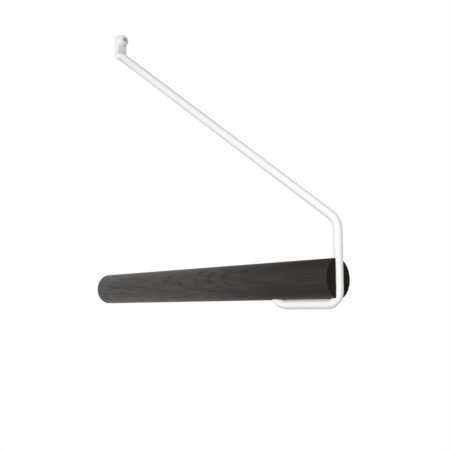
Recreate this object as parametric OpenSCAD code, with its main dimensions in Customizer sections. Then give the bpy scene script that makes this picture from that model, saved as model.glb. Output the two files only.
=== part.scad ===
// Wall clothes rail: a round wooden bar stands out from the wall, and one bent steel stay,
// screwed to the wall above it, slopes down to the bar's free end, where it is let into the end
// grain, turns back under the bar and hooks up into its underside. The stay is thickest at the
// wall, where it is forged flat to make an eye.
// Millimetres. The wall is the plane y = 0, the bar points along -Y and Z is up. The origin is
// where the bar's centre line meets the wall. Heights are measured from that line.

/* [Bar] */
// Diameter of the bar
bar_d = 28; // [25:0.5:35]
// Length of the bar, from the wall to its free end
bar_len = 270; // [180:1:400]
// Width of the small chamfer round both ends of the bar
bar_chamfer = 0.6; // [0.2:0.1:1.5]

/* [Stay] */
// Diameter of the stay's wire up to the corner, with its coating
stay_d = 6.4; // [5.6:0.1:7]
// Diameter that the sloping part has grown to where it reaches the wall
stay_wall_d = 8.4; // [7.2:0.1:9]
// Height of the corner where the sloping part of the stay meets its upright
corner_rise = 40; // [34:1:60]
// Length of the run under the bar, from the upright's centre to the spigot's centre
run_len = 58; // [46:1:90]
// Gap between the bar's underside and the run
run_gap = 0.2; // [0.2:0.05:1]
// How deep the upright is let into the bar's free end
end_groove = 3.2; // [1:0.1:4]
// How far the spigot reaches up into the bar from its underside
spigot_depth = 17; // [14:0.5:20]
// Bend radius of the upper corner, at the wire's centre line
corner_r = 15; // [8:0.5:22]
// Bend radius below the bar's free end, at the wire's centre line
foot_r = 9; // [8:0.5:12]
// Bend radius where the run turns up into the bar, at the wire's centre line
spigot_r = 13; // [8:0.5:15]
// How much the wire's radius is drawn in where a bend stretches it
bend_thin = 0.05; // [0.04:0.01:0.1]

/* [Eye] */
// Height of the eye's hole
eye_rise = 262; // [180:1:360]
// Distance from the hole down to the bend where the wire leaves the wall
eye_leg = 16; // [13:0.5:22]
// Width of the eye
eye_w = 11.5; // [10.5:0.5:14]
// Thickness of the eye
eye_t = 5.2; // [4.6:0.1:6]
// Radius of the eye's two top corners
eye_corner_r = 3; // [2:0.1:4.5]
// Width of the worn edge round the eye
eye_edge = 0.8; // [0.3:0.1:1.2]
// Length over which the eye is drawn down to the round wire
eye_neck = 5; // [4:0.5:12]
// How far the forged neck stands out over the round wire where it starts
neck_step = 0.1; // [0.1:0.01:0.2]

/* [Eye screw] */
// Diameter of the screw's shank
screw_d = 5; // [4:0.5:5.5]
// Length of the screw under its head
screw_len = 50; // [44:1:70]
// Diameter of the screw's head
head_d = 10.8; // [9.5:0.1:12]
// Height of the straight side of the screw's head
head_side = 3.1; // [2:0.1:4]
// Height of the shallow dome on top of that
head_dome = 1.1; // [0.6:0.1:2]
// Width of the head's hexagon socket, across its flats
socket_w = 3.5; // [3:0.1:4]
// Depth of the head's hexagon socket
socket_deep = 2.4; // [1.5:0.1:3]

/* [Bar fixing] */
// Diameter of the hanger bolt's machine thread
bolt_d = 8; // [6:0.5:8]
// Length of the machine thread that stands out of the wall
bolt_out = 24; // [20:1:40]
// Diameter of the hanger bolt's wood thread
bolt_wood_d = 7; // [5:0.5:7]
// Length of the wood thread in the wall
bolt_in = 52; // [46:1:70]
// Outer diameter of the threaded insert in the bar
insert_d = 12; // [10.5:0.5:14]
// Length of the threaded insert
insert_len = 15; // [12:0.5:18]

/* [Wall plugs] */
// Diameter of the plug behind the eye
eye_plug_d = 8; // [7.5:0.5:10]
// Length of the plug behind the eye
eye_plug_len = 40; // [32:1:42]
// Diameter of the plug behind the bar
bar_plug_d = 10; // [9.5:0.5:12]
// Length of the plug behind the bar
bar_plug_len = 48; // [36:1:48]
// Width of the split between a plug's two legs
plug_split = 1.2; // [0.6:0.1:1.6]

/* [Clearances] */
// Gap between the stay and the grooves that hold it
seat_gap = 0.1; // [0.05:0.01:0.15]
// How much wider than its grooves the bar is cut away for the stay's bends, on each side
bend_room = 0.3; // [0.2:0.1:0.6]
// Gap round a screw in its plug or insert, and round the insert in the bar
fit_gap = 0.05; // [0.02:0.01:0.1]
// Gap round the screw in the eye
hole_gap = 0.25; // [0.1:0.05:0.4]

/* [Hidden] */
$fn = 64;
// How far a cutter runs past the surface that it opens
cut = 1;
// How far two lengths of one solid run into each other
lap = 1;
// How far a bend runs on inside the straight wire at its ends, in degrees
bend_lap = 3;
// How far the round wire runs on inside the eye's neck
neck_lap = 0.3;

bar_r = bar_d / 2;
stay_r = stay_d / 2;
wall_r = stay_wall_d / 2;
seat_r = stay_r + seat_gap;

// Places in the stay's own plane, as [distance out from the wall, height]
upright_out = bar_len + stay_r - end_groove;
run_up = -bar_r - run_gap - stay_r;
spigot_out = upright_out - run_len;
spigot_tip_up = spigot_depth - bar_r;
corner = [upright_out, corner_rise];
eye_bend = [eye_t / 2, eye_rise - eye_leg];
foot_centre = [upright_out - foot_r, run_up + foot_r];
spigot_centre = [spigot_out + spigot_r, run_up + spigot_r];

// The slope's direction, from the corner up to the eye, and what the bend at the corner takes
slope = atan2(eye_bend[1] - corner[1], eye_bend[0] - corner[0]);
slope_dir = [cos(slope), sin(slope)];
corner_turn = slope - 90;
corner_tangent = corner_r * tan(corner_turn / 2);
corner_centre = [upright_out - corner_r, corner_rise - corner_tangent];

// The eye: where its flat ends above the bend, its top, and how far out from the middle of the
// bend its rounded back reaches
eye_flat_low = eye_bend[1] + eye_t / 2;
eye_top = eye_rise + eye_w / 2;
eye_back_half = (eye_w + stay_wall_d) / 4 - eye_t / 2;

// Children drawn in x and y come to lie in the stay's plane: x runs out from the wall, y up
module in_stay_plane() {
    rotate([90, 0, -90]) children();
}

// Children drawn along z come to stand straight out from the wall at a height
module out_from_wall(up) {
    translate([0, 0, up]) rotate([90, 0, 0]) children();
}

// A straight length of round wire between two points of the stay's plane, which may taper from
// one radius to another
module straight(from, to, r, end_r = 0) {
    run = to - from;
    translate(from)
        rotate([0, 0, atan2(run[1], run[0])])
            rotate([0, 90, 0])
                rotate([0, 0, 45])
                    cylinder(r1 = r, r2 = end_r > 0 ? end_r : r, h = norm(run));
}

// A bend in round wire, turning about a centre from one angle by another. The wire is stretched
// a little thinner there, and each end of the bend runs on inside the straight that it meets
module bend(centre, bend_r, start, turn, r) {
    translate(centre)
        rotate([0, 0, start - bend_lap])
            rotate_extrude(angle = turn + 2 * bend_lap)
                translate([bend_r, 0])
                    circle(r = r - bend_thin);
}

// A bar with a small chamfer round both ends, standing on its wall end
module chamfered_bar() {
    rotate_extrude()
        polygon([
            [0, 0],
            [bar_r - bar_chamfer, 0],
            [bar_r, bar_chamfer],
            [bar_r, bar_len - bar_chamfer],
            [bar_r - bar_chamfer, bar_len],
            [0, bar_len]
        ]);
}

// The stepped hole in the bar's wall end, for the insert and the tip of the bolt
module insert_hole() {
    translate([0, 0, -cut])
        cylinder(r = insert_d / 2 + fit_gap, h = insert_len + cut);
    cylinder(r = bolt_d / 2 + seat_gap, h = bolt_out + lap);
}

// The groove across the bar's free end that the upright lies in, and the lower corner cut away
// along the chord of the bend below it
module end_groove_cut() {
    inner_r = foot_r - seat_r;
    below = bar_r + foot_centre[1];
    chord_out = foot_centre[0] + sqrt(max(0, inner_r ^ 2 - below ^ 2));
    room_w = 2 * (seat_r + bend_room);
    straight([upright_out, -bar_r - cut], [upright_out, bar_r + cut], seat_r);
    translate([0, 0, -room_w / 2])
        linear_extrude(room_w)
            polygon([
                [foot_centre[0] + inner_r, foot_centre[1]],
                [chord_out, -bar_r],
                [chord_out, -bar_r - cut],
                [bar_len + cut, -bar_r - cut],
                [bar_len + cut, foot_centre[1]]
            ]);
}

// The hole in the bar's underside that the end of the stay hooks up into, chiselled on towards
// the free end as far as the bend needs
module spigot_hole() {
    inner_r = spigot_r - seat_r;
    below = bar_r + spigot_centre[1];
    chisel_out = spigot_centre[0] - sqrt(max(0, inner_r ^ 2 - below ^ 2)) + seat_gap;
    room_w = 2 * (seat_r + bend_room);
    translate([0, -spigot_out, -bar_r - cut])
        cylinder(r = seat_r, h = spigot_depth + seat_gap + cut);
    translate([-room_w / 2, -chisel_out, -bar_r - cut])
        cube([room_w, chisel_out - spigot_out, below + cut]);
}

module rail_bar() {
    color([0.24, 0.23, 0.22])
        difference() {
            out_from_wall(0) chamfered_bar();
            out_from_wall(0) insert_hole();
            in_stay_plane() end_groove_cut();
            spigot_hole();
        }
}

// The eye's flat, with its worn edge
module eye_plate() {
    hull() {
        eye_layer(0, eye_edge);
        eye_layer(eye_edge, 0);
    }
}

// One layer of the eye: its outline drawn in by an inset, kept off both faces by a margin
module eye_layer(margin, inset) {
    corner_x = eye_w / 2 - eye_corner_r;
    translate([0, 0, margin])
        linear_extrude(eye_t - 2 * margin) {
            for (side = [-1, 1])
                translate([side * corner_x, eye_top - eye_corner_r])
                    circle(r = eye_corner_r - inset, $fn = 32);
            translate([inset - eye_w / 2, eye_flat_low])
                square([eye_w - 2 * inset, lap]);
        }
}

// The eye's neck, from the lowest part of its flat, round the bend, to the round wire
module eye_neck_solid() {
    neck_r = (wall_r + neck_step) / cos(180 / 32);
    hull() {
        intersection() {
            out_from_wall(0) eye_plate();
            translate([-eye_w, -eye_t - cut, eye_flat_low])
                cube([2 * eye_w, eye_t + 2 * cut, lap]);
        }
        for (side = [-1, 1])
            translate([side * eye_back_half, -eye_bend[0], eye_bend[1]])
                sphere(d = eye_t, $fn = 32);
        in_stay_plane()
            straight(
                eye_bend - eye_neck * slope_dir,
                eye_bend - (eye_neck - neck_lap) * slope_dir,
                neck_r,
                $fn = 32
            );
    }
}

module stay() {
    color([0.95, 0.95, 0.94])
        difference() {
            union() {
                in_stay_plane() {
                    straight([spigot_out, spigot_centre[1]], [spigot_out, spigot_tip_up], stay_r);
                    bend(spigot_centre, spigot_r, 180, 90, stay_r);
                    straight([spigot_centre[0], run_up], [foot_centre[0], run_up], stay_r);
                    bend(foot_centre, foot_r, -90, 90, stay_r);
                    straight([upright_out, foot_centre[1]], [upright_out, corner_centre[1]], stay_r);
                    bend(corner_centre, corner_r, 0, corner_turn, stay_r);
                    straight(
                        corner + corner_tangent * slope_dir,
                        eye_bend - (eye_neck - neck_lap) * slope_dir,
                        stay_r,
                        wall_r
                    );
                }
                out_from_wall(0) eye_plate();
                eye_neck_solid();
            }
            out_from_wall(eye_rise)
                translate([0, 0, -cut])
                    cylinder(d = screw_d + 2 * hole_gap, h = eye_t + 2 * cut);
        }
}

// A pointed shank that starts at z = 0 and runs down to its point
module pointed_shank(d, len) {
    translate([0, 0, d - len])
        cylinder(d = d, h = len - d);
    translate([0, 0, -len])
        cylinder(d1 = 0.2 * d, d2 = d, h = d);
}

module eye_screw() {
    head_h = head_side + head_dome;
    dome_r = (head_dome ^ 2 + (head_d / 2) ^ 2) / (2 * head_dome);
    color([0.93, 0.93, 0.92])
        out_from_wall(eye_rise)
            translate([0, 0, eye_t])
                difference() {
                    union() {
                        cylinder(d = head_d, h = head_side);
                        intersection() {
                            translate([0, 0, head_h - dome_r]) sphere(r = dome_r);
                            cylinder(d = head_d, h = head_h);
                        }
                        pointed_shank(screw_d, screw_len);
                    }
                    translate([0, 0, head_h - socket_deep])
                        cylinder(d = socket_w / cos(30), h = socket_deep + cut, $fn = 6);
                }
}

// A nylon wall plug, its mouth at z = 0 and its nose down: a plain collar, then saw teeth that
// grip the wall, split into two legs that are joined at the nose
module wall_plug(d, len, bore_d) {
    r = d / 2;
    collar = 0.25 * len;
    nose = 0.12 * len;
    teeth = 6;
    pitch = (len - collar - nose) / teeth;
    bite = 0.07 * d;
    difference() {
        rotate_extrude()
            polygon(concat(
                [[0, 0], [r, 0], [r, -collar]],
                [for (i = [0 : teeth - 1], half = [0, 1])
                    half == 0
                        ? [r - bite, -collar - i * pitch]
                        : [r, -collar - (i + 1) * pitch]],
                [[r - bite, nose - len], [0.88 * r, -len], [0, -len]]
            ));
        translate([0, 0, -len - cut])
            cylinder(d = bore_d, h = len + 2 * cut);
        translate([-r - cut, -plug_split / 2, nose - len])
            cube([d + 2 * cut, plug_split, len - collar - nose]);
    }
}

module eye_wall_plug() {
    color([0.62, 0.63, 0.64])
        out_from_wall(eye_rise)
            wall_plug(eye_plug_d, eye_plug_len, screw_d + 2 * fit_gap);
}

module bar_wall_plug() {
    color([0.62, 0.63, 0.64])
        out_from_wall(0)
            wall_plug(bar_plug_d, bar_plug_len, bolt_wood_d + 2 * fit_gap);
}

// The brass insert in the bar's wall end, with a slot across its mouth to drive it
module bar_insert() {
    slot_w = 0.15 * insert_d;
    slot_deep = 0.2 * insert_len;
    color([0.78, 0.62, 0.32])
        out_from_wall(0)
            difference() {
                cylinder(d = insert_d, h = insert_len - fit_gap);
                translate([0, 0, -cut])
                    cylinder(d = bolt_d + 2 * fit_gap, h = insert_len + 2 * cut);
                translate([-insert_d, -slot_w / 2, -cut])
                    cube([2 * insert_d, slot_w, slot_deep + cut]);
            }
}

// The hanger bolt: a machine thread out of the wall, a wood thread into it, and a hexagon socket
// in its outer end to drive it
module hanger_bolt() {
    bolt_socket_w = 0.5 * bolt_d;
    bolt_socket_deep = 0.6 * bolt_d;
    color([0.72, 0.73, 0.75])
        out_from_wall(0)
            difference() {
                union() {
                    cylinder(d = bolt_d, h = bolt_out);
                    pointed_shank(bolt_wood_d, bolt_in);
                }
                translate([0, 0, bolt_out - bolt_socket_deep])
                    cylinder(d = bolt_socket_w / cos(30), h = bolt_socket_deep + cut, $fn = 6);
            }
}

rail_bar();
stay();
eye_screw();
eye_wall_plug();
bar_insert();
hanger_bolt();
bar_wall_plug();
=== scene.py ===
# %% [markdown]
# # A wall clothes rail
# A short round bar of black-stained wood stands square out from the wall. One bent steel stay,
# coated white, hangs its free end from a screw above. The solids say where every piece is, so
# this lesson is about what the eye sees: round wire that grows thicker towards the wall, a coat
# of powder paint, and wood whose grain still shows through its stain.

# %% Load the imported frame
import math

import bmesh
import bpy
from mathutils import Matrix, Vector


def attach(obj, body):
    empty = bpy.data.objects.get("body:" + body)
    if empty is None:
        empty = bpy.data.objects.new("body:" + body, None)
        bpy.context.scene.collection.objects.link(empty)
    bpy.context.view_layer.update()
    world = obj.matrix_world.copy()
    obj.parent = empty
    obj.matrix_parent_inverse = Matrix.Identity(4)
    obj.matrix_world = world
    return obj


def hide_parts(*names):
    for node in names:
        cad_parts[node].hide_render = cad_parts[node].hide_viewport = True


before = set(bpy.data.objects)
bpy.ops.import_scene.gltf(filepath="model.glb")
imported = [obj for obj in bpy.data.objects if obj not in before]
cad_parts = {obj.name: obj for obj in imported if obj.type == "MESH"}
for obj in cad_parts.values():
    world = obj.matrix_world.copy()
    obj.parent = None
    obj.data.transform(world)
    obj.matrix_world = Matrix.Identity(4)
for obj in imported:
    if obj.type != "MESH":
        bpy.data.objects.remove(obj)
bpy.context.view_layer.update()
MM = 0.001
print("packed pieces:", ", ".join(sorted(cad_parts)))

# %% [markdown]
# ## Sizes
# Blender works in metres here and the maker's drawing in millimetres, so each size is written
# once in millimetres and scaled. The bar points along -Y from the wall, which is the plane
# y = 0. A place in the stay's own plane is a pair: how far out from the wall, and how high.

# %% Sizes of this rail
BAR_R, BAR_LEN, BAR_EDGE = 14 * MM, 270 * MM, 0.6 * MM
WIRE_R, WIRE_WALL_R = 3.2 * MM, 4.2 * MM
SEAT_GAP, BEND_ROOM, FIT_GAP = 0.1 * MM, 0.3 * MM, 0.05 * MM
UPRIGHT_OUT, CORNER_UP = 270 * MM, 40 * MM
RUN_UP, SPIGOT_OUT, SPIGOT_TIP_UP = -17.4 * MM, 212 * MM, 3 * MM
CORNER_BEND, FOOT_BEND, SPIGOT_BEND = 15 * MM, 9 * MM, 13 * MM
EYE_UP, EYE_W, EYE_T = 262 * MM, 11.5 * MM, 5.2 * MM
EYE_CORNER, EYE_EDGE, EYE_NECK = 3 * MM, 0.8 * MM, 7 * MM
EYE_CREASE_UP = 245.2 * MM
EYE_HOLE_R = 2.75 * MM
WALL_BEND = (EYE_T / 2, 246 * MM)
SCREW_D, SCREW_LEN = 5 * MM, 50 * MM
HEAD_D, HEAD_SIDE, HEAD_DOME = 10.8 * MM, 3.1 * MM, 1.1 * MM
HEAD_SOCKET_W, HEAD_SOCKET_DEEP = 3.8 * MM, 2.8 * MM
BOLT_D, BOLT_OUT, BOLT_WOOD_D, BOLT_IN = 8 * MM, 24 * MM, 7 * MM, 52 * MM
BOLT_SOCKET_W, BOLT_SOCKET_DEEP = 0.5 * BOLT_D, 0.6 * BOLT_D
INSERT_D, INSERT_LEN = 12 * MM, 15 * MM
SLOT_HALF, SLOT_DEEP = 0.075 * INSERT_D, 0.2 * INSERT_LEN
PAST = 1 * MM  # how far a cutter goes on beyond the shape that it cuts
seat_r = WIRE_R + SEAT_GAP
slope_dir = Vector(
    (WALL_BEND[0] - UPRIGHT_OUT, WALL_BEND[1] - CORNER_UP)
).normalized()
neck_start = Vector(WALL_BEND) - EYE_NECK * slope_dir
print("the stay slopes at %.1f degrees" % math.degrees(math.atan2(slope_dir.y, -slope_dir.x)))

# %% [markdown]
# ## Camera
# The picture was taken from the bar's left, a little below it, looking up and towards the wall.
# A camera is placed by its own three axes: what it calls right, what it calls up, and the
# direction that it looks along, turned a little about that last one.

# %% The camera
CAMERA_AT = Vector((-0.33742, -0.49494, -0.02793))
CAMERA_TURN, CAMERA_TILT, CAMERA_ROLL = math.radians(45.308), math.radians(9.078), 0.01078
CAMERA_LENS, CAMERA_SENSOR, CAMERA_NEAR = 46.96, 36, 0.01


def aimed(turn, tilt, roll):
    """A camera's rotation: turned from +Y towards +X, tilted up, then rolled."""
    look = Vector(
        (math.sin(turn) * math.cos(tilt), math.cos(turn) * math.cos(tilt), math.sin(tilt))
    )
    right = look.cross(Vector((0, 0, 1))).normalized()
    up = right.cross(look)
    right, up = (
        math.cos(roll) * right + math.sin(roll) * up,
        math.cos(roll) * up - math.sin(roll) * right,
    )
    return Matrix((right, up, -look)).transposed().to_4x4()


camera = bpy.data.objects.new("camera", bpy.data.cameras.new("camera"))
bpy.context.scene.collection.objects.link(camera)
camera.data.lens = CAMERA_LENS
camera.data.sensor_width = CAMERA_SENSOR
camera.data.clip_start = CAMERA_NEAR
camera.matrix_world = Matrix.Translation(CAMERA_AT) @ aimed(
    CAMERA_TURN, CAMERA_TILT, CAMERA_ROLL
)
bpy.context.scene.camera = camera
bpy.context.scene.view_settings.view_transform = "Standard"
print("camera %.0f mm from the bar's end" % ((CAMERA_AT - Vector((0, -BAR_LEN, 0))).length / MM))

# %% [markdown]
# ## Helpers for meshes and materials
# Most of the pieces are turned on a lathe or cut by another shape, so two helpers do that: one
# spins an outline round the Y axis, the other joins or cuts shapes and keeps the result as plain
# mesh. A Screw modifier could spin the outline too, but points and faces that are written out
# close on the axis, and booleans need closed shapes. The node helpers let each finish below read
# as a short recipe: add a node, feed its inputs, hand on its output.

# %% Mesh helpers
ROUND_SIDES = 64
ON_AXIS = 1e-9


def link_mesh(name, mesh):
    """A new object at the origin that shows a mesh."""
    obj = bpy.data.objects.new(name, mesh)
    bpy.context.scene.collection.objects.link(obj)
    return obj


def mesh_object(name, verts, faces, edges=()):
    """An object from lists of points and faces, with its faces turned outwards."""
    mesh = bpy.data.meshes.new(name)
    mesh.from_pydata(verts, edges, faces)
    if faces:
        bm = bmesh.new()
        bm.from_mesh(mesh)
        bmesh.ops.recalc_face_normals(bm, faces=bm.faces)
        bm.to_mesh(mesh)
        bm.free()
    return link_mesh(name, mesh)


def turned(name, outline, sides, up=0.0):
    """A closed shape turned about the Y axis at a height. The outline is (radius, y) pairs
    from one end of the axis to the other."""
    verts, rows = [], []
    for radius, y in outline:
        count = 1 if radius < ON_AXIS else sides
        rows.append([len(verts) + k % count for k in range(sides)])
        for k in range(count):
            a = 2 * math.pi * k / sides
            verts.append((radius * math.cos(a), y, up + radius * math.sin(a)))
    faces = []
    for low, high in zip(rows, rows[1:]):
        for k in range(sides):
            ring = [low[k], low[(k + 1) % sides], high[(k + 1) % sides], high[k]]
            face = list(dict.fromkeys(ring))
            if len(face) > 2:
                faces.append(face)
    return mesh_object(name, verts, faces)


def cylinder(name, radius, y_from, y_to, sides=ROUND_SIDES, up=0.0):
    """A cylinder along Y between two places, at a height."""
    return turned(name, [(0, y_from), (radius, y_from), (radius, y_to), (0, y_to)], sides, up)


def upright_rod(name, radius, low, high, out):
    """An upright cylinder between two heights, at a distance out from the wall."""
    piece = cylinder(name, radius, low, high)
    piece.data.transform(Matrix.Translation((0, -out, 0)) @ Matrix.Rotation(math.pi / 2, 4, "X"))
    return piece


def prism(name, outline, half_width):
    """A block whose outline is drawn in the stay's plane, as (out, up) pairs."""
    count = len(outline)
    verts = [(side * half_width, -out, up) for side in (-1, 1) for out, up in outline]
    faces = [list(range(count)), list(range(count, 2 * count))]
    for k in range(count):
        n = (k + 1) % count
        faces.append([k, n, count + n, count + k])
    return mesh_object(name, verts, faces)


def baked(obj):
    """Turns the result of the object's modifiers into its own plain mesh."""
    graph = bpy.context.evaluated_depsgraph_get()
    made = bpy.data.meshes.new_from_object(obj.evaluated_get(graph))
    obj.modifiers.clear()
    obj.data = made


def combined(obj, others, operation):
    """Cuts other shapes out of the object or joins them to it, and throws them away."""
    for other in others:
        step = obj.modifiers.new(operation.lower(), "BOOLEAN")
        step.operation = operation
        step.solver = "EXACT"
        step.object = other
    baked(obj)
    for other in others:
        bpy.data.objects.remove(other)


def smooth_but(obj, degrees):
    """Smooth shading, except across edges that are sharper than an angle."""
    obj.data.shade_smooth()
    obj.data.set_sharp_from_angle(angle=math.radians(degrees))


def finish_piece(obj, materials, node):
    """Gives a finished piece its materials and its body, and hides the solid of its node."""
    obj.data.materials.clear()
    for material in materials:
        obj.data.materials.append(material)
    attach(obj, "root")
    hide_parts(node)
    print("%s: %d faces" % (obj.name, len(obj.data.polygons)))


print("a round cutter has %d sides" % ROUND_SIDES)


# %% Node and material helpers
def start_material(name, **inputs):
    """A material with one Principled shader. Returns it, its tree and that shader."""
    material = bpy.data.materials.new(name)
    material.use_nodes = True
    tree = material.node_tree
    shader = tree.nodes["Principled BSDF"]
    for key, value in inputs.items():
        shader.inputs[key.replace("_", " ")].default_value = value
    return material, tree, shader


def add(tree, kind, sources=(), **settings):
    """Adds a node, sets its own settings, and feeds its inputs in order: a socket is linked,
    a number is set, and None leaves the input as it is."""
    node = tree.nodes.new(kind)
    for key, value in settings.items():
        setattr(node, key, value)
    live = [socket for socket in node.inputs if socket.enabled]
    for socket, source in zip(live, sources):
        if isinstance(source, bpy.types.NodeSocket):
            tree.links.new(source, socket)
        elif source is not None:
            socket.default_value = source
    return node


def feed(tree, node, sources):
    """Links each source to the node's input of that name or number."""
    for key, source in sources.items():
        tree.links.new(source, node.inputs[key])


def math_on(tree, operation, *sources):
    """The result socket of one sum."""
    return add(tree, "ShaderNodeMath", sources, operation=operation).outputs[0]


def noise(tree, stretch, detail, rough=0.5):
    """A noise pattern's value, from 0 to 1, in the piece's own coordinates, which are first
    scaled along each axis."""
    own = tree.nodes.new("ShaderNodeTexCoord").outputs["Object"]
    mapping = tree.nodes.new("ShaderNodeMapping")
    mapping.inputs["Scale"].default_value = stretch
    feed(tree, mapping, {"Vector": own})
    pattern = tree.nodes.new("ShaderNodeTexNoise")
    feed(tree, pattern, {"Vector": mapping.outputs[0]})
    pattern.inputs["Scale"].default_value = 1.0
    pattern.inputs["Detail"].default_value = detail
    pattern.inputs["Roughness"].default_value = rough
    return pattern.outputs["Fac"]


def distance_from_axis(tree, across, upward):
    """The length of the hypotenuse of two distances at right angles."""
    squares = [math_on(tree, "MULTIPLY", side, side) for side in (across, upward)]
    return math_on(tree, "SQRT", math_on(tree, "ADD", *squares))


def ranged(tree, value, from_low, from_high, to_low, to_high, smooth=False):
    """A value carried from one range to another, and kept inside it."""
    node = tree.nodes.new("ShaderNodeMapRange")
    if smooth:
        node.interpolation_type = "SMOOTHSTEP"
    tree.links.new(value, node.inputs[0])
    for k, number in enumerate((from_low, from_high, to_low, to_high)):
        node.inputs[k + 1].default_value = number
    return node.outputs[0]


def blend_colours(tree, factor, low, high):
    """A colour between two, by a factor. Either may be another blend's result."""
    node = tree.nodes.new("ShaderNodeMix")
    node.data_type = "RGBA"
    tree.links.new(factor, node.inputs[0])
    for socket, colour in ((node.inputs[6], low), (node.inputs[7], high)):
        if isinstance(colour, bpy.types.NodeSocket):
            tree.links.new(colour, socket)
        else:
            socket.default_value = (*colour, 1)
    return node.outputs[2]


def raise_surface(tree, shader, height, depth):
    """Bump from a height pattern, whose full range stands for a depth in metres."""
    bump = tree.nodes.new("ShaderNodeBump")
    bump.inputs["Distance"].default_value = depth
    feed(tree, bump, {"Height": height})
    feed(tree, shader, {"Normal": bump.outputs[0]})


print("node helpers: add, feed, math_on, noise, distance_from_axis, ranged, blend_colours")

# %% [markdown]
# ## The room
# The photograph's background is plain white. The wall behind the rail is white to the camera and
# to reflections, and to light that bounces it gives an even pale glow, so it lights the back of
# the stay as a real wall would, without speckle. To reflections it fades out to the left, above
# and below, where the picture doesn't reach: the bar's far end mirrors bright wall, and its near
# end mirrors the dim side of the room. Seen from behind the wall is clear, which shows the
# fixings that are in it. The floor is pale and plain, and far below, where a room has it.

# %% Wall and floor
WHITE = (1, 1, 1, 1)
SQUARE = ((-1, -1), (1, -1), (1, 1), (-1, 1))
WALL_HALF, FLOOR_HALF, FLOOR_UP = 2.0, 3.0, -1.2
BRIGHT_WITHIN, FADED_BEYOND, HEIGHT_COUNTS = 0.4, 0.45, 1.8
WALL_GLOW = 0.27
FLOOR_COLOUR, FLOOR_ROUGH, FLOOR_WHITE = (0.8, 0.8, 0.8, 1), 0.7, 0.7


def ray_kinds(tree):
    """Sockets that are 1 for rays from the camera, from mirrors and glass, and from dull faces."""
    rays = tree.nodes.new("ShaderNodeLightPath").outputs
    mirrored = math_on(tree, "MAXIMUM", rays["Is Glossy Ray"], rays["Is Transmission Ray"])
    return rays["Is Camera Ray"], mirrored, rays["Is Diffuse Ray"]


def flat_sheet(name, corners):
    """One square face."""
    mesh = bpy.data.meshes.new(name)
    mesh.from_pydata(corners, [], [[0, 1, 2, 3]])
    obj = link_mesh(name, mesh)
    return obj


def bright_wall():
    """Pure white to the camera and to reflections, and an even pale glow to bounced light."""
    material = bpy.data.materials.new("bright_wall")
    material.use_nodes = True
    tree = material.node_tree
    tree.nodes.clear()
    from_camera, mirrored, from_dull = ray_kinds(tree)
    own = tree.nodes.new("ShaderNodeTexCoord").outputs["Object"]
    place = add(tree, "ShaderNodeSeparateXYZ", [own]).outputs
    left = math_on(tree, "MINIMUM", place["X"], 0.0)
    height = math_on(tree, "MULTIPLY", place["Z"], HEIGHT_COUNTS)
    away = distance_from_axis(tree, left, height)
    faded = ranged(tree, away, BRIGHT_WITHIN, FADED_BEYOND, 1.0, 0.0, True)
    reflected = math_on(tree, "MULTIPLY", mirrored, faded)
    shown = math_on(tree, "MAXIMUM", from_camera, reflected)
    bounced = math_on(tree, "MULTIPLY", from_dull, WALL_GLOW)
    strength = math_on(tree, "MAXIMUM", shown, bounced)
    front = add(tree, "ShaderNodeEmission", [WHITE, strength]).outputs[0]
    clear = add(tree, "ShaderNodeBsdfTransparent").outputs[0]
    back = tree.nodes.new("ShaderNodeNewGeometry").outputs["Backfacing"]
    face = add(tree, "ShaderNodeMixShader", [back, front, clear]).outputs[0]
    add(tree, "ShaderNodeOutputMaterial", [face])
    # The white is for eyes and mirrors only, so the renderer doesn't aim light rays at it
    material.cycles.emission_sampling = "NONE"
    return material


def pale_floor():
    """Pale ground that takes shadows, and is whiter to the camera and to reflections."""
    material, tree, shader = start_material(
        "pale_floor", Base_Color=FLOOR_COLOUR, Roughness=FLOOR_ROUGH
    )
    from_camera, mirrored, _ = ray_kinds(tree)
    seen = math_on(tree, "MAXIMUM", from_camera, mirrored)
    share = math_on(tree, "MULTIPLY", seen, FLOOR_WHITE)
    white = add(tree, "ShaderNodeEmission", [WHITE, 1.0]).outputs[0]
    mixed = add(tree, "ShaderNodeMixShader", [share, shader.outputs[0], white]).outputs[0]
    feed(tree, tree.nodes["Material Output"], {"Surface": mixed})
    material.cycles.emission_sampling = "NONE"
    return material


wall = flat_sheet("wall", [(WALL_HALF * a, 0, WALL_HALF * b) for a, b in SQUARE])
wall.data.materials.append(bright_wall())
floor = flat_sheet("floor", [(FLOOR_HALF * a, FLOOR_HALF * b, FLOOR_UP) for a, b in SQUARE])
floor.data.materials.append(pale_floor())
print("the wall faces", wall.data.polygons[0].normal[:])

# %% [markdown]
# ## Light
# The photograph's light is broad and soft. It comes from beside the camera and from its left,
# which is why round wire is bright along its middle and grey at both edges, and why the eye's
# side is brighter than its face. Two square lamps do that, a weak one above keeps the top edges
# alive, and a dome of even light fills every other side. The lamps are hidden from reflections,
# so the wall and the dome are all that the surfaces mirror.

# %% The dome and the lamps
DOME, LAMP_SIZE = 0.26, 0.6
LIT_PLACE = (0, -0.13, 0.1)
LAMPS = {
    "left_lamp": ((-1.6, -0.35, 0.25), 15.0),
    "camera_lamp": ((-1.2, -1.4, 0.1), 11.6),
    "top_lamp": ((-0.3, -0.5, 1.8), 0.9),
}

world = bpy.data.worlds.new("soft_dome")
bpy.context.scene.world = world
world.use_nodes = True
sky = world.node_tree
sky.nodes.clear()
from_camera, mirrored, _ = ray_kinds(sky)
shown = math_on(sky, "MAXIMUM", from_camera, mirrored)
strength = ranged(sky, shown, 0, 1, DOME, 1.0)
dome = add(sky, "ShaderNodeBackground", [WHITE, strength]).outputs[0]
add(sky, "ShaderNodeOutputWorld", [dome])


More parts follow.
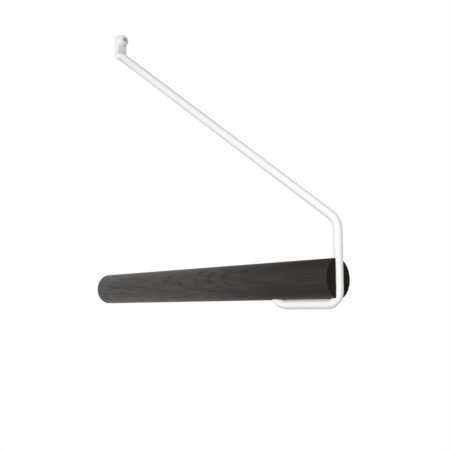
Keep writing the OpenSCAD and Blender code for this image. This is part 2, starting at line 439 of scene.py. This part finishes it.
def lamp(name, place, power):
    """A square soft lamp that faces the rail."""
    light = bpy.data.lights.new(name, "AREA")
    light.size = LAMP_SIZE
    light.energy = power
    obj = bpy.data.objects.new(name, light)
    bpy.context.scene.collection.objects.link(obj)
    obj.location = place
    towards = Vector(LIT_PLACE) - Vector(place)
    obj.rotation_euler = towards.to_track_quat("-Z", "Y").to_euler()
    # Hidden from reflections, so that no bright square shows in the surfaces
    obj.visible_glossy = False


for name, (place, power) in LAMPS.items():
    lamp(name, place, power)
    print("%s: %.1f W" % (name, power))
print("dome: %.2f" % DOME)

# %% [markdown]
# ## White powder coat
# The stay and its screw are coated with powder that melts into a smooth satin skin. Close up it
# is never quite flat: it has the fine ripple of an orange's peel, and it is a shade thinner and
# greyer here and there. The ripple is a fine noise in the bump, and a broad, faint one moves the
# colour and the gloss. A picture of paint could be wrapped on instead, but noise in the piece's
# own coordinates has no seam along a bent rod.

# %% White powder coat
COAT_LIGHT, COAT_SHADE = (0.88, 0.88, 0.875), (0.84, 0.84, 0.835)
COAT_ROUGH, COAT_GLOSSY, COAT_DULL = 0.38, 0.34, 0.44
COAT_DRIFT, PEEL, PEEL_DEPTH = (70, 70, 70), (650, 650, 650), 0.000012
NOISE_LOW, NOISE_HIGH = 0.3, 0.7  # most of a noise lies between these
white_coat, tree, shader = start_material("white_powder_coat", Roughness=COAT_ROUGH)
drift = noise(tree, COAT_DRIFT, 3)
colour = blend_colours(tree, drift, COAT_SHADE, COAT_LIGHT)
gloss = ranged(tree, drift, NOISE_LOW, NOISE_HIGH, COAT_GLOSSY, COAT_DULL)
feed(tree, shader, {"Base Color": colour, "Roughness": gloss})
raise_surface(tree, shader, noise(tree, PEEL, 2), PEEL_DEPTH)
print("white coat:", len(tree.nodes), "nodes")

# %% [markdown]
# ## Stained wood
# The bar is stained nearly black, and its grain only just shows. Each year's ring starts with a
# band of open pores, which run along the bar as fine dark dashes and hold more stain. Rings are
# cylinders about the tree's heart, which lay outside this bar, so the turned surface cuts them
# into long flames on two sides and close straight lines on the other two. The distance from
# that heart line, shaken by noise that is stretched along the grain, gives the rings. A Wave
# texture could draw such lines, but one rule for the rings gives both the flames and the lines.

# %% Stained wood, side grain and end grain
HEART_X, HEART_Z, RING_WIDTH = 0.024, -0.007, 0.0016
FLAME_FROM, FLAME_TO, FLAME_RISE = -0.22, -0.06, 0.011
SHAKE, SHAKEN_BY = (30, 9, 30), 0.006
SIDE_PORES, END_PORES = (1700, 60, 1700), (2600, 400, 2600)
PORES_END_AT, PORES_EARLY, PORES_ALWAYS = 0.5, 0.6, 0.4
PORE_FROM, PORE_TO, PORE_DULLS = 0.42, 0.60, 0.3
FIBRE_FINER, FIBRE_SHARE = 2.2, 0.4
STREAK_BROADER, STREAK_SHARE = 0.5, 0.6
TONE_FROM, TONE_TO = 0.38, 0.62
FIBRE_HEIGHT, PORE_HEIGHT, GRAIN_DEPTH = 0.3, 0.7, 0.00012
GRAIN_BREAKUP = 0.6
SIDE_ROUGH, SIDE_SHINE, END_ROUGH, END_SHINE = 0.48, 0.7, 0.9, 0.08
STAIN_DARK = (0.0038, 0.0028, 0.0021)
STAIN_MID = (0.0120, 0.0087, 0.0065)
STAIN_PALE = (0.0280, 0.0203, 0.0152)
END_DARK, END_PALE = (0.011, 0.0095, 0.007), (0.033, 0.028, 0.022)


def year_part(tree):
    """How far through its year each place of the wood is: 0 where the pores are, rising to 1."""
    own = tree.nodes.new("ShaderNodeTexCoord").outputs["Object"]
    place = add(tree, "ShaderNodeSeparateXYZ", [own]).outputs
    across = math_on(tree, "SUBTRACT", place["X"], HEART_X)
    upward = math_on(tree, "SUBTRACT", place["Z"], HEART_Z)
    away = distance_from_axis(tree, across, upward)
    rise = ranged(tree, place["Y"], FLAME_FROM, FLAME_TO, FLAME_RISE, 0.0, True)
    leaning = math_on(tree, "ADD", away, rise)
    shift = math_on(tree, "MULTIPLY", noise(tree, SHAKE, 3), SHAKEN_BY)
    shaken = math_on(tree, "ADD", leaning, shift)
    return math_on(tree, "FRACT", math_on(tree, "DIVIDE", shaken, RING_WIDTH))


def stained(name, pore_stretch, dark, pale, gloss, shine):
    """Wood under black stain. The pore stretch sets how long and wide the pores' dashes are."""
    material, tree, shader = start_material(name, Roughness=gloss, Specular_IOR_Level=shine)
    early = ranged(tree, year_part(tree), 0.0, PORES_END_AT, 1.0, 0.0, True)
    pores = noise(tree, pore_stretch, 2, GRAIN_BREAKUP)
    sharp = ranged(tree, pores, PORE_FROM, PORE_TO, 0.0, 1.0)
    crowding = math_on(tree, "ADD", math_on(tree, "MULTIPLY", early, PORES_EARLY), PORES_ALWAYS)
    open_pores = math_on(tree, "MULTIPLY", sharp, crowding)
    fibre = noise(tree, tuple(FIBRE_FINER * v for v in pore_stretch), 3, GRAIN_BREAKUP)
    streak = noise(tree, tuple(STREAK_BROADER * v for v in pore_stretch), 2)
    fine = math_on(tree, "MULTIPLY", fibre, FIBRE_SHARE)
    broad = math_on(tree, "MULTIPLY", streak, STREAK_SHARE)
    tone = ranged(tree, math_on(tree, "ADD", fine, broad), TONE_FROM, TONE_TO, 0.0, 1.0)
    body = blend_colours(tree, tone, STAIN_MID, pale)
    colour = blend_colours(tree, open_pores, body, dark)
    duller = ranged(tree, open_pores, 0.0, 1.0, gloss, min(1.0, gloss + PORE_DULLS))
    feed(tree, shader, {"Base Color": colour, "Roughness": duller})
    ridges = math_on(tree, "MULTIPLY", fibre, FIBRE_HEIGHT)
    pits = math_on(tree, "MULTIPLY", open_pores, PORE_HEIGHT)
    raise_surface(tree, shader, math_on(tree, "SUBTRACT", ridges, pits), GRAIN_DEPTH)
    return material


side_grain = stained(
    "stained_side_grain", SIDE_PORES, STAIN_DARK, STAIN_PALE, SIDE_ROUGH, SIDE_SHINE
)
end_grain = stained("stained_end_grain", END_PORES, END_DARK, END_PALE, END_ROUGH, END_SHINE)
print("wood: rings %.1f mm wide" % (RING_WIDTH / MM))

# %% [markdown]
# ## Metals and nylon
# The fixings are out of sight in use, but the part shows them from behind. Brass and zinc carry
# fine turning marks round their axis, and moulded nylon is dull, with a faint flow pattern. The
# marks are noise squeezed along the axis. They could be cut in the mesh, at a cost of thousands
# of faces for what is only a change of gloss. The plugs' solids already have their teeth, so the
# plugs keep those meshes and get only a material.

# %% Brass, zinc and nylon
METAL_DRIFT, METAL_MARKS, MARK_DEPTH = (90, 90, 90), (40, 5200, 40), 0.00001
MARKS_LOW, MARKS_HIGH, MARKS_GLOSSIER, MARKS_DULLER = 0.2, 0.8, 0.08, 0.1
BRASS_SHADE, BRASS_LIGHT, BRASS_ROUGH = (0.62, 0.43, 0.17), (0.76, 0.57, 0.27), 0.34
ZINC_SHADE, ZINC_LIGHT, ZINC_ROUGH = (0.56, 0.57, 0.60), (0.68, 0.69, 0.71), 0.30
NYLON_FLOW, NYLON_SKIN, SKIN_DEPTH = (160, 40, 160), (1500, 1500, 1500), 0.00002
NYLON_SHADE, NYLON_LIGHT = (0.30, 0.31, 0.32), (0.38, 0.39, 0.40)
NYLON_ROUGH, NYLON_GLOSSY, NYLON_DULL = 0.55, 0.5, 0.65


def turned_metal(name, low, high, rough):
    """Metal with fine marks round the Y axis, and a tone that drifts."""
    material, tree, shader = start_material(name, Metallic=1.0, Roughness=rough)
    colour = blend_colours(tree, noise(tree, METAL_DRIFT, 3), low, high)
    marks = noise(tree, METAL_MARKS, 2)
    glossiest, dullest = rough - MARKS_GLOSSIER, rough + MARKS_DULLER
    gloss = ranged(tree, marks, MARKS_LOW, MARKS_HIGH, glossiest, dullest)
    feed(tree, shader, {"Base Color": colour, "Roughness": gloss})
    raise_surface(tree, shader, marks, MARK_DEPTH)
    return material


brass = turned_metal("turned_brass", BRASS_SHADE, BRASS_LIGHT, BRASS_ROUGH)
zinc = turned_metal("zinc_plate", ZINC_SHADE, ZINC_LIGHT, ZINC_ROUGH)
grey_nylon, tree, shader = start_material("grey_nylon", Roughness=NYLON_ROUGH)
flow = noise(tree, NYLON_FLOW, 3)
colour = blend_colours(tree, flow, NYLON_SHADE, NYLON_LIGHT)
gloss = ranged(tree, flow, NOISE_LOW, NOISE_HIGH, NYLON_GLOSSY, NYLON_DULL)
feed(tree, shader, {"Base Color": colour, "Roughness": gloss})
raise_surface(tree, shader, noise(tree, NYLON_SKIN, 2), SKIN_DEPTH)
for name in ("eye_wall_plug", "bar_wall_plug"):
    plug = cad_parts[name]
    plug.data.materials.clear()
    plug.data.materials.append(grey_nylon)
print("plugs keep their solids' own meshes")

# %% [markdown]
# ## The bar
# The bar is turned from one length of wood, with its edges just broken. Then it is cut where the
# stay goes: a groove across the end grain, a nick below it for the bend, and a hole in the
# underside. The mesh is made in that order too, on a lathe and then with cutters, because the
# edges of such cuts are what shows. Faces that lie across the grain get the end-grain finish.

# %% Turn the bar
BAR_SIDES, BAR_EDGE_STEPS = 192, 4
rim = []
for k in range(BAR_EDGE_STEPS + 1):
    a = math.radians(90 * k / BAR_EDGE_STEPS)
    rim.append((BAR_R - BAR_EDGE + BAR_EDGE * math.sin(a), -BAR_EDGE * (1 - math.cos(a))))
far_rim = [(r, -BAR_LEN - y) for r, y in reversed(rim)]
bar = turned("bar", [(0, 0), *rim, *far_rim, (0, -BAR_LEN)], BAR_SIDES)
print("turned bar: %d faces" % len(bar.data.polygons))

# %% Cut the bar for the stay and the bolt
BAR_SHARP = 25
ACROSS_GRAIN = 0.5
foot_out, foot_up = UPRIGHT_OUT - FOOT_BEND, RUN_UP + FOOT_BEND
inner = FOOT_BEND - seat_r
chord_out = foot_out + math.sqrt(inner**2 - (BAR_R + foot_up) ** 2)
room = seat_r + BEND_ROOM
groove = upright_rod("groove", seat_r, -BAR_R - PAST, BAR_R + PAST, UPRIGHT_OUT)
nick = prism(
    "nick",
    [
        (foot_out + inner, foot_up),
        (chord_out, -BAR_R),
        (chord_out, -BAR_R - PAST),
        (BAR_LEN + PAST, -BAR_R - PAST),
        (BAR_LEN + PAST, foot_up),
    ],
    room,
)
hole = upright_rod("hole", seat_r, -BAR_R - PAST, SPIGOT_TIP_UP + SEAT_GAP, SPIGOT_OUT)
spigot_inner = SPIGOT_BEND - seat_r
spigot_below = BAR_R + RUN_UP + SPIGOT_BEND
chisel_out = SPIGOT_OUT + SPIGOT_BEND - math.sqrt(spigot_inner**2 - spigot_below**2) + SEAT_GAP
chiselled = prism(
    "chiselled",
    [
        (SPIGOT_OUT, -BAR_R - PAST),
        (chisel_out, -BAR_R - PAST),
        (chisel_out, RUN_UP + SPIGOT_BEND),
        (SPIGOT_OUT, RUN_UP + SPIGOT_BEND),
    ],
    room,
)
socket = turned(
    "socket",
    [
        (0, PAST),
        (INSERT_D / 2 + FIT_GAP, PAST),
        (INSERT_D / 2 + FIT_GAP, -INSERT_LEN),
        (BOLT_D / 2 + SEAT_GAP, -INSERT_LEN),
        (BOLT_D / 2 + SEAT_GAP, -BOLT_OUT - PAST),
        (0, -BOLT_OUT - PAST),
    ],
    ROUND_SIDES,
)
combined(bar, [groove, nick, hole, chiselled, socket], "DIFFERENCE")
smooth_but(bar, BAR_SHARP)
finish_piece(bar, [side_grain, end_grain], "rail_bar")
for face in bar.data.polygons:
    across_grain = abs(face.normal.y) > ACROSS_GRAIN
    in_groove = face.center.y < -BAR_LEN + seat_r and face.center.xz.length < BAR_R - BAR_EDGE
    face.material_index = int(across_grain or in_groove)
print("end grain on", sum(f.material_index for f in bar.data.polygons), "faces")

# %% [markdown]
# ## The stay
# The stay is one rod bent four times, and it grows thicker along its slope until a smith's blow
# flattens its end into an eye. Round wire on a path is work for Geometry Nodes: the path is four
# straight lines, Fillet Curve rounds each corner by a radius that the corner carries, and Curve
# to Mesh sweeps a circle along, whose size follows the height. The eye is no sweep, so its rings
# are laid one by one, each a rounded rectangle, on from the wire's last ring.


# %% Helpers for geometry trees
def start_tree(name, inputs):
    """An empty tree with geometry in and out, and named number inputs."""
    tree = bpy.data.node_groups.new(name, "GeometryNodeTree")
    tree.interface.new_socket("Geometry", in_out="INPUT", socket_type="NodeSocketGeometry")
    tree.interface.new_socket("Geometry", in_out="OUTPUT", socket_type="NodeSocketGeometry")
    for key, value in inputs.items():
        kind = "NodeSocketInt" if isinstance(value, int) else "NodeSocketFloat"
        tree.interface.new_socket(key, in_out="INPUT", socket_type=kind).default_value = value
    return tree, tree.nodes.new("NodeGroupInput").outputs, tree.nodes.new("NodeGroupOutput")


def end_tree(tree, group_out, geometry, material):
    """Real meshes and one material at the end of a tree."""
    real = add(tree, "GeometryNodeRealizeInstances", [geometry]).outputs[0]
    painted = tree.nodes.new("GeometryNodeSetMaterial")
    painted.inputs["Material"].default_value = material
    feed(tree, painted, {"Geometry": real})
    feed(tree, group_out, {0: painted.outputs[0]})


def place_parts(tree):
    """The sockets of a point's x, y and z."""
    place = tree.nodes.new("GeometryNodeInputPosition").outputs[0]
    return add(tree, "ShaderNodeSeparateXYZ", [place]).outputs


def grown(obj, tree, inputs):
    """Runs a tree on an object with these inputs and keeps the mesh that it makes."""
    step = obj.modifiers.new(tree.name, "NODES")
    step.node_group = tree
    for socket in tree.interface.items_tree:
        if socket.in_out == "INPUT" and socket.name in inputs:
            step[socket.identifier] = inputs[socket.name]
    baked(obj)


print("tree helpers: start_tree, end_tree, place_parts, grown")

# %% A tree that sweeps tapering wire along a bent path
wire_sizes = {
    "Thin Radius": WIRE_R,
    "Thick Radius": WIRE_WALL_R,
    "Slope Low": CORNER_UP,
    "Slope High": neck_start.y,
    "Bend Steps": 40,
    "Ring Spacing": 1.2 * MM,
    "Ring Points": 48,
}
wire_tree, given, result = start_tree("tapering_wire", wire_sizes)
path = add(wire_tree, "GeometryNodeMeshToCurve", [given["Geometry"]]).outputs[0]
bend_r = add(wire_tree, "GeometryNodeInputNamedAttribute", ["bend_r"], data_type="FLOAT").outputs[0]
rounded = wire_tree.nodes.new("GeometryNodeFilletCurve")
rounded.mode = "POLY"
feed(wire_tree, rounded, {"Curve": path, "Count": given["Bend Steps"], "Radius": bend_r})
even = wire_tree.nodes.new("GeometryNodeResampleCurve")
even.mode = "LENGTH"
feed(wire_tree, even, {"Curve": rounded.outputs[0], "Length": given["Ring Spacing"]})
taper = wire_tree.nodes.new("ShaderNodeMapRange")
feed(
    wire_tree,
    taper,
    {
        0: place_parts(wire_tree)["Z"],
        1: given["Slope Low"],
        2: given["Slope High"],
        3: given["Thin Radius"],
        4: given["Thick Radius"],
    },
)
ring = wire_tree.nodes.new("GeometryNodeCurvePrimitiveCircle")
ring.inputs["Radius"].default_value = 1.0
feed(wire_tree, ring, {"Resolution": given["Ring Points"]})
sweep = wire_tree.nodes.new("GeometryNodeCurveToMesh")
sweep.inputs["Fill Caps"].default_value = True
feed(
    wire_tree,
    sweep,
    {
        "Curve": even.outputs[0],
        "Profile Curve": ring.outputs["Curve"],
        "Scale": taper.outputs[0],
    },
)
end_tree(wire_tree, result, sweep.outputs[0], white_coat)
print("wire tree: %d nodes" % len(wire_tree.nodes))

# %% Sweep the wire
corners = [
    (SPIGOT_OUT, SPIGOT_TIP_UP, 0.0),
    (SPIGOT_OUT, RUN_UP, SPIGOT_BEND),
    (UPRIGHT_OUT, RUN_UP, FOOT_BEND),
    (UPRIGHT_OUT, CORNER_UP, CORNER_BEND),
    (neck_start.x, neck_start.y, 0.0),
]
stay = mesh_object(
    "stay_rod",
    [(0, -out, up) for out, up, _ in corners],
    [],
    [(k, k + 1) for k in range(len(corners) - 1)],
)
stay.data.attributes.new("bend_r", "FLOAT", "POINT").data.foreach_set(
    "value", [bend for _, _, bend in corners]
)
grown(stay, wire_tree, wire_sizes)
print("wire: %d faces" % len(stay.data.polygons))

# %% [markdown]
# ### The forged eye
# Section planes fan out from a line in front of the bend. In each plane the neck's edges and the
# eye's flat faces both have a distance from that line, and the nearer one counts, a little
# rounded where they change over. In front, a shoulder leads from the top of the round wire down
# to a level crease, where the flat begins. Above the bend the planes are level, and the last few
# draw in to round the eye's top. A cage with Subdivision Surface could be pulled to this shape
# by hand, but rings laid by a rule keep the eye's width and thickness exact.

# %% Shapes of a section
EDGE_ON = 1e-4


def soft_least(a, b, k):
    """The smaller of two numbers, with a rounded change-over."""
    low, high = sorted((a, b))
    return low - k * math.log1p(math.exp((low - high) / k))


def ease(t):
    """A smooth step from 0 to 1."""
    t = min(1.0, max(0.0, t))
    return t * t * (3 - 2 * t)


def sign(v):
    """Which side of a middle line a value is on: -1, 0 or 1."""
    return math.copysign(1.0, v) if abs(v) > EDGE_ON else 0.0


def eye_section(angle, centre, outward, half_w, half_t, edge):
    """A ring's point at an angle: a rounded rectangle, or a circle where its edge is its half."""
    c, s = math.cos(angle), math.sin(angle)
    across = sign(c) * (half_w - edge) + edge * c
    forward = sign(s) * (half_t - edge) + edge * s
    place = centre + forward * outward
    return (across, -place.x, place.y)


print("a quarter of the way, a smooth step has risen to %.2f" % ease(0.25))

# %% The eye's sections
FAN_STEPS, FLAT_TOP_STEPS, FAN_UP = 22, 10, 4.2 * MM
FRONT_SOFT, BACK_SOFT = 0.12 * MM, 1.2 * MM
SHAPED_EARLY, WIDE_LATER = 1.9, 1.4
level = Vector((1, 0))
tilted = Vector((slope_dir.y, -slope_dir.x))
crease = Vector((EYE_T, EYE_CREASE_UP))
wire_top = neck_start + WIRE_WALL_R * tilted
shoulder = Vector((crease.y - wire_top.y, wire_top.x - crease.x)).normalized()
hinge_run = (WALL_BEND[1] + FAN_UP - neck_start.y) / tilted.y
hinge = neck_start + hinge_run * tilted
fan = math.acos(tilted.x)
sections = []
for k in range(1, FAN_STEPS + 1):
    turned_by = fan * k / FAN_STEPS
    from_level = fan - turned_by
    outward = Vector((math.cos(from_level), math.sin(from_level)))
    near = soft_least(
        shoulder.dot(hinge - crease) / shoulder.dot(outward),
        (hinge.x - EYE_T) / math.cos(from_level),
        FRONT_SOFT,
    )
    far = soft_least(
        (hinge_run + WIRE_WALL_R) / math.cos(turned_by),
        hinge.x / math.cos(from_level),
        BACK_SOFT,
    )
    t = ease(SHAPED_EARLY * k / FAN_STEPS)
    half_t = (far - near) / 2
    half_w = WIRE_WALL_R + ease(WIDE_LATER * k / FAN_STEPS) * (EYE_W / 2 - WIRE_WALL_R)
    edge = min(WIRE_WALL_R + t * (EYE_EDGE - WIRE_WALL_R), half_t, half_w)
    sections.append((hinge - (near + far) / 2 * outward, outward, half_w, half_t, edge))
eye_top = EYE_UP + EYE_W / 2
for k in range(FLAT_TOP_STEPS + 1):
    a = math.radians(90 * k / FLAT_TOP_STEPS)
    z = eye_top - EYE_CORNER + EYE_CORNER * math.sin(a)
    half_w = EYE_W / 2 - EYE_CORNER + EYE_CORNER * math.cos(a)
    drop = max(0.0, z - (eye_top - EYE_EDGE)) / EYE_EDGE
    half_t = EYE_T / 2 - EYE_EDGE * (1 - math.sqrt(max(0.0, 1 - drop**2)))
    sections.append((Vector((EYE_T / 2, z)), level, half_w, half_t, min(EYE_EDGE, half_t)))
print("eye: %d sections" % len(sections))

# %% Lay the eye's rings on the wire's end
bm = bmesh.new()
bm.from_mesh(stay.data)
neck_cap = min(
    bm.faces,
    key=lambda f: (f.calc_center_median() - Vector((0, -neck_start.x, neck_start.y))).length,
)
last = list(neck_cap.verts)
angles = []
for vert in last:
    offset = Vector((-vert.co.y, vert.co.z)) - neck_start
    angles.append(math.atan2(offset.dot(tilted), vert.co.x))
bmesh.ops.delete(bm, geom=[neck_cap], context="FACES_ONLY")
for section in sections:
    fresh = [bm.verts.new(eye_section(a, *section)) for a in angles]
    for k in range(len(last)):
        n = (k + 1) % len(last)
        bm.faces.new((last[k], last[n], fresh[n], fresh[k]))
    last = fresh
bm.faces.new(last)
bmesh.ops.recalc_face_normals(bm, faces=bm.faces)
print("stay: %d faces, open edges %d" % (len(bm.faces), sum(e.is_boundary for e in bm.edges)))
bm.to_mesh(stay.data)
bm.free()

# %% The eye's hole
STAY_SHARP = 40
drill = cylinder("drill", EYE_HOLE_R, PAST, -EYE_T - PAST, up=EYE_UP)
combined(stay, [drill], "DIFFERENCE")
smooth_but(stay, STAY_SHARP)
finish_piece(stay, [white_coat], "stay")

# %% [markdown]
# ## Threads
# A thread is a rod whose radius rises and falls once for every pitch that is climbed and once
# for every turn round the rod. So the tree takes a finely divided cylinder and moves each point
# in or out by a wave of its angle plus its height. One tree serves the screw, both threads of
# the hanger bolt and the insert. At the pointed end the whole rod draws in. A Screw modifier
# could sweep a thread's profile, but its ends stay open, and a rod that is joined has to be
# closed.

# %% A tree that cuts a thread
TIP_SHARE = 0.2
thread_sizes = {
    "Crest Radius": 1.0,
    "Root Radius": 0.8,
    "Pitch": 0.2,
    "Length": 1.0,
    "Point": 0.1,
    "Plain": 0.1,
    "Sharpness": 1.0,
    "Rings": 200,
    "Sides": 40,
}
thread_tree, given, result = start_tree("thread", thread_sizes)


def sum_of(operation, *sources):
    """One sum in the thread's tree."""
    return math_on(thread_tree, operation, *sources)


blank = thread_tree.nodes.new("GeometryNodeMeshCylinder")
feed(
    thread_tree,
    blank,
    {
        "Vertices": given["Sides"],
        "Side Segments": given["Rings"],
        "Radius": given["Crest Radius"],
        "Depth": given["Length"],
    },
)
x, y, z = place_parts(thread_tree)
down = sum_of("ADD", z, sum_of("MULTIPLY", given["Length"], 0.5))
turn = sum_of("DIVIDE", sum_of("ARCTAN2", y, x), 2 * math.pi)
climbed = sum_of("SUBTRACT", sum_of("DIVIDE", down, given["Pitch"]), turn)
sawtooth = sum_of("MULTIPLY", sum_of("FRACT", climbed), 2.0)
wave = sum_of("SUBTRACT", 1.0, sum_of("ABSOLUTE", sum_of("SUBTRACT", sawtooth, 1.0)))
flank = sum_of("POWER", wave, given["Sharpness"])
plain_from = sum_of("SUBTRACT", given["Length"], given["Plain"])
threaded = sum_of("LESS_THAN", down, plain_from)
depth = sum_of("SUBTRACT", given["Crest Radius"], given["Root Radius"])
crest = sum_of("MULTIPLY", depth, sum_of("MULTIPLY", flank, threaded))
radius = sum_of("ADD", given["Root Radius"], crest)
pointed = thread_tree.nodes.new("ShaderNodeMapRange")
pointed.inputs[3].default_value = TIP_SHARE
feed(thread_tree, pointed, {0: down, 2: given["Point"]})
drawn_in = sum_of("MULTIPLY", radius, pointed.outputs[0])
share = sum_of("DIVIDE", drawn_in, given["Crest Radius"])
sideways = [sum_of("MULTIPLY", part, share) for part in (x, y)]
moved = add(thread_tree, "ShaderNodeCombineXYZ", [*sideways, z]).outputs[0]
placed = thread_tree.nodes.new("GeometryNodeSetPosition")
feed(thread_tree, placed, {"Geometry": blank.outputs["Mesh"], "Position": moved})
end_tree(thread_tree, result, placed.outputs[0], zinc)
print("thread tree: %d nodes" % len(thread_tree.nodes))

# %% Rods with a thread
RINGS_PER_PITCH = 10
NO_POINT = 0.001 * MM
OFF_CORNERS = Matrix.Rotation(math.radians(1.3), 4, "Z")


def threaded_rod(name, sizes, y_start=0.0, inward=False, up=0.0):
    """A threaded rod from y_start along +Y (inward) or -Y, at a height, its point at the end."""
    piece = mesh_object(name, [(0, 0, 0)], [])
    sizes = {**thread_sizes, **sizes}
    length = sizes["Length"]
    sizes["Rings"] = int(length / sizes["Pitch"] * RINGS_PER_PITCH)
    grown(piece, thread_tree, sizes)
    # Turned a little about itself, so that its corners miss those of the shape that it joins
    lean = Matrix.Rotation(math.radians(90 if inward else -90), 4, "X") @ OFF_CORNERS
    shift = y_start + (length / 2 if inward else -length / 2)
    piece.data.transform(Matrix.Translation((0, shift, up)) @ lean)
    return piece


print("threads are drawn with %d rings for each pitch" % RINGS_PER_PITCH)

# %% [markdown]
# ## The eye's screw
# All that shows of it is its head: round, with a straight side, a shallow dome and a hexagon
# socket, coated like the stay. The socket's inside is given bare metal as painted shade, which
# stands in for the shadow deep in the socket and keeps it dark. The head is turned, because its
# dome is a true arc, and its underside is a little hollow, so that its rim is what rests on the
# eye. The shank comes from the thread tree, and the socket is cut last.

# %% The screw's head
HEAD_SIDES, DOME_STEPS = 96, 14
UNDER_HOLLOW, UNDER_EDGE = 0.25 * MM, 0.15 * MM
SIDE_ENDS, DOME_START_IN = 0.35 * MM, 0.05 * MM
DOME_SOFT, DOME_SOFT_WITHIN = 0.25 * MM, 0.5 * MM
head_r = HEAD_D / 2
dome_r = (HEAD_DOME**2 + head_r**2) / (2 * HEAD_DOME)
head_outline = [
    (0, -EYE_T - UNDER_HOLLOW),
    (head_r - UNDER_EDGE, -EYE_T),
    (head_r, -EYE_T - UNDER_EDGE),
    (head_r, -EYE_T - HEAD_SIDE + SIDE_ENDS),
]
for k in range(DOME_STEPS + 1):
    r = head_r * math.cos(math.radians(90 * k / DOME_STEPS))
    rise = HEAD_DOME - dome_r + math.sqrt(dome_r**2 - r**2)
    soften = DOME_SOFT * max(0.0, 1 - (head_r - r) / DOME_SOFT_WITHIN) ** 2
    inset = soften if k else DOME_START_IN
    head_outline.append((r - inset, -EYE_T - HEAD_SIDE - rise + soften))
screw = turned("screw", head_outline, HEAD_SIDES, EYE_UP)
print("screw's head: %d faces" % len(screw.data.polygons))

# %% The screw's shank and socket
SHANK_SUNK = 0.7 * MM
FIXING_SHARP = 35
# Painted shade: the band deep inside the socket that gets bare metal, to stand in for its shadow
SOCKET_SHADE_WITHIN, SOCKET_SHADE_BELOW_DOME, SOCKET_SHADE_ABOVE_UNDER = 0.6 * HEAD_SOCKET_W, 0.7 * HEAD_DOME, 0.2 * MM


def hexagon(name, across_flats, y_from, y_to, up=0.0):
    """A six-sided cutter along Y."""
    corner_r = across_flats / 2 / math.cos(math.radians(30))
    return cylinder(name, corner_r, y_from, y_to, 6, up)


head_top = -EYE_T - HEAD_SIDE - HEAD_DOME
shank_sizes = {
    "Crest Radius": SCREW_D / 2,
    "Root Radius": 0.36 * SCREW_D,
    "Pitch": 2.2 * MM,
    "Length": SCREW_LEN + SHANK_SUNK,
    "Point": 1.6 * SCREW_D,
    "Plain": EYE_T + 4 * MM,
    "Sharpness": 1.6,
}
shank = threaded_rod("shank", shank_sizes, -EYE_T - SHANK_SUNK, True, EYE_UP)
combined(screw, [shank], "UNION")
key = hexagon("key", HEAD_SOCKET_W, head_top + HEAD_SOCKET_DEEP, head_top - PAST, EYE_UP)
combined(screw, [key], "DIFFERENCE")
smooth_but(screw, FIXING_SHARP)
finish_piece(screw, [white_coat, zinc], "eye_screw")
# Painted shade: faces deep in the socket get bare metal, whose darkness stands in for the socket's
# shadow
for face in screw.data.polygons:
    from_axis = math.hypot(face.center.x, face.center.z - EYE_UP)
    inside = -EYE_T - HEAD_SIDE - SOCKET_SHADE_BELOW_DOME < face.center.y < -EYE_T - SOCKET_SHADE_ABOVE_UNDER
    face.material_index = int(inside and from_axis < SOCKET_SHADE_WITHIN)
print("bare metal on", sum(f.material_index for f in screw.data.polygons), "faces")

# %% [markdown]
# ## The hidden fixing
# A hanger bolt joins the bar to the wall: wood thread in the plug, machine thread in a brass
# insert that is screwed into the bar's end. Its outer end has a socket for the key that drives
# it. The insert's outside is a coarse thread that cuts into the wood. They could be plain rods,
# since they are hidden, but the thread tree is there already, and only its sizes change.

# %% The hanger bolt
BOLT_SUNK = 1 * MM
wood_sizes = {
    "Crest Radius": BOLT_WOOD_D / 2,
    "Root Radius": 0.36 * BOLT_WOOD_D,
    "Pitch": 3 * MM,
    "Length": BOLT_IN + BOLT_SUNK,
    "Point": 1.3 * BOLT_WOOD_D,
    "Plain": 4 * MM,
    "Sharpness": 1.6,
}
machine_sizes = {
    "Crest Radius": BOLT_D / 2,
    "Root Radius": 0.415 * BOLT_D,
    "Pitch": 1.25 * MM,
    "Length": BOLT_OUT,
    "Point": NO_POINT,
    "Plain": 0.0,
    "Sharpness": 0.8,
}
bolt = threaded_rod("bolt", wood_sizes, -BOLT_SUNK, True)
combined(bolt, [threaded_rod("machine", machine_sizes)], "UNION")
bolt_key = hexagon("bolt_key", BOLT_SOCKET_W, -BOLT_OUT + BOLT_SOCKET_DEEP, -BOLT_OUT - PAST)
combined(bolt, [bolt_key], "DIFFERENCE")
smooth_but(bolt, FIXING_SHARP)
finish_piece(bolt, [zinc], "hanger_bolt")

# %% The insert
insert_sizes = {
    "Crest Radius": INSERT_D / 2,
    "Root Radius": 0.42 * INSERT_D,
    "Pitch": 2.5 * MM,
    "Length": INSERT_LEN - FIT_GAP,
    "Point": NO_POINT,
    "Plain": 1 * MM,
    "Sharpness": 2.2,
    "Sides": ROUND_SIDES,
}
insert = threaded_rod("insert", insert_sizes)
bore = cylinder("bore", BOLT_D / 2 + FIT_GAP, PAST, -INSERT_LEN - PAST)
slot_outline = [
    (-PAST, -SLOT_HALF),
    (SLOT_DEEP, -SLOT_HALF),
    (SLOT_DEEP, SLOT_HALF),
    (-PAST, SLOT_HALF),
]
driver_slot = prism("driver_slot", slot_outline, INSERT_D)
combined(insert, [bore, driver_slot], "DIFFERENCE")
smooth_but(insert, FIXING_SHARP)
finish_piece(insert, [brass], "bar_insert")
